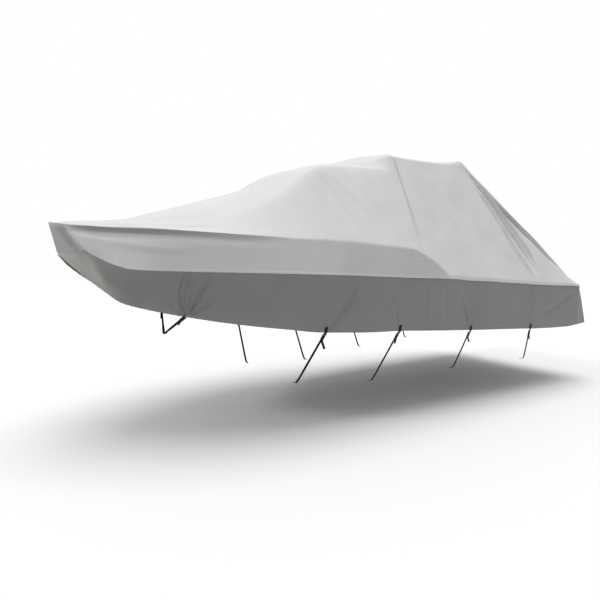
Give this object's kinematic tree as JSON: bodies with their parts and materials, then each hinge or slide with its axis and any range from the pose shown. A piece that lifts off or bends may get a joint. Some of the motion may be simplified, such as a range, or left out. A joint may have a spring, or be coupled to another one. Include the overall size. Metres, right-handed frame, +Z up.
{
  "type": "boat cover",
  "caption": "Fitted storage cover for a hardtop boat: light cloth top tented from the hardtop down to the rub rail, darker side skirts, and webbing tie-downs with buckles along the hem.",
  "frame": {"origin": "underside of the cloth on the centreline, at the middle of the hardtop that holds the cover up", "axes": "+X aft along the boat, +Y to starboard, +Z up"},
  "size_m": [6.6585, 2.4016, 2.5575],
  "materials": {
    "cover_cloth": "matt coated woven polyester, light grey",
    "skirt_cloth": "matt coated woven polyester, mid grey",
    "webbing": "black woven webbing",
    "buckle_plastic": "matt black moulded plastic"
  },
  "bodies": {
    "root": {"top_fore": "cover_cloth", "top_aft": "cover_cloth", "skirt_port": "skirt_cloth", "skirt_starboard": "skirt_cloth", "skirt_transom": "skirt_cloth", "tab_1_port": "webbing", "tab_1_starboard": "webbing", "buckle_1_port": "buckle_plastic", "buckle_1_starboard": "buckle_plastic", "tab_2_port": "webbing", "tab_2_starboard": "webbing", "buckle_2_port": "buckle_plastic", "buckle_2_starboard": "buckle_plastic", "tab_3_port": "webbing", "tab_3_starboard": "webbing", "buckle_3_port": "buckle_plastic", "buckle_3_starboard": "buckle_plastic", "tab_4_port": "webbing", "tab_4_starboard": "webbing", "buckle_4_port": "buckle_plastic", "buckle_4_starboard": "buckle_plastic", "tab_5_port": "webbing", "tab_5_starboard": "webbing", "buckle_5_port": "buckle_plastic", "buckle_5_starboard": "buckle_plastic", "strap_1": "webbing", "strap_2_port": "webbing", "strap_2_starboard": "webbing", "strap_3_port": "webbing", "strap_3_starboard": "webbing", "strap_4_port": "webbing", "strap_4_starboard": "webbing", "strap_5_port": "webbing", "strap_5_starboard": "webbing"}
  },
  "joints": []
}
